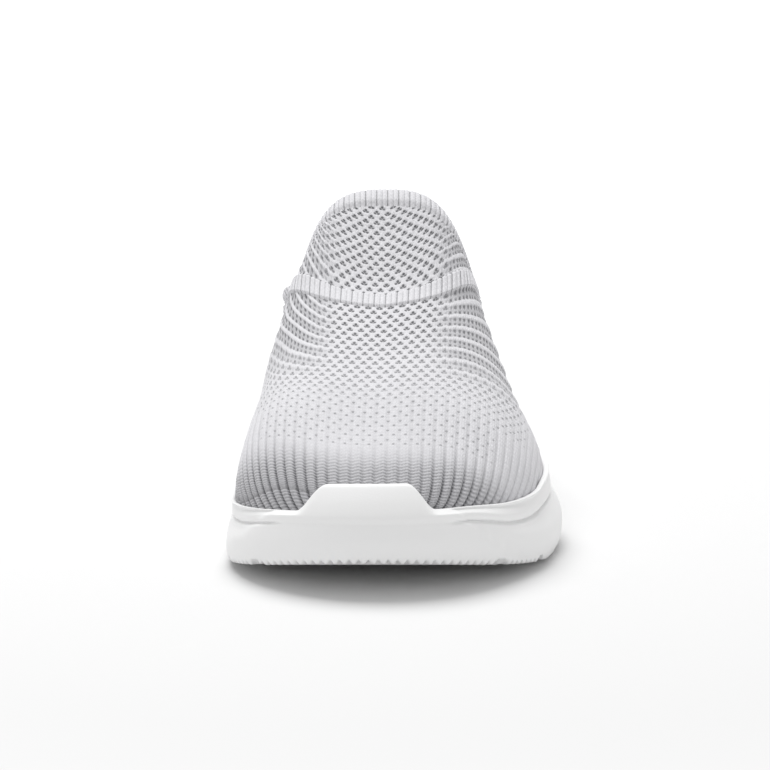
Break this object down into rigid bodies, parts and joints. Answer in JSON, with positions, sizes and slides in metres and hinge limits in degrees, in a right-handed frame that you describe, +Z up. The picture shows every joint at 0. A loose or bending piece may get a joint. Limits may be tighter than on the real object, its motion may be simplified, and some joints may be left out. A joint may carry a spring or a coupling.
{
  "type": "sneaker mule",
  "caption": "Backless slip-on shoe for the left foot with a knitted upper, a high tongue, a raised band, a thick moulded foam sole with a toe bumper, and an insole.",
  "frame": {"origin": "middle of the bounding box, on the floor that the sole stands on", "axes": "+Z up, toe towards -Y and heel towards +Y, +X towards the outer (lateral) side of the left foot"},
  "size_m": [0.1043, 0.27, 0.1031],
  "materials": {
    "knit": "soft ribbed and open-work knit, matte",
    "foam": "smooth moulded foam, satin",
    "insole_cloth": "fine brushed lining cloth, matte"
  },
  "bodies": {
    "root": {"upper": "knit", "sole": "foam", "insole": "insole_cloth"}
  },
  "joints": []
}
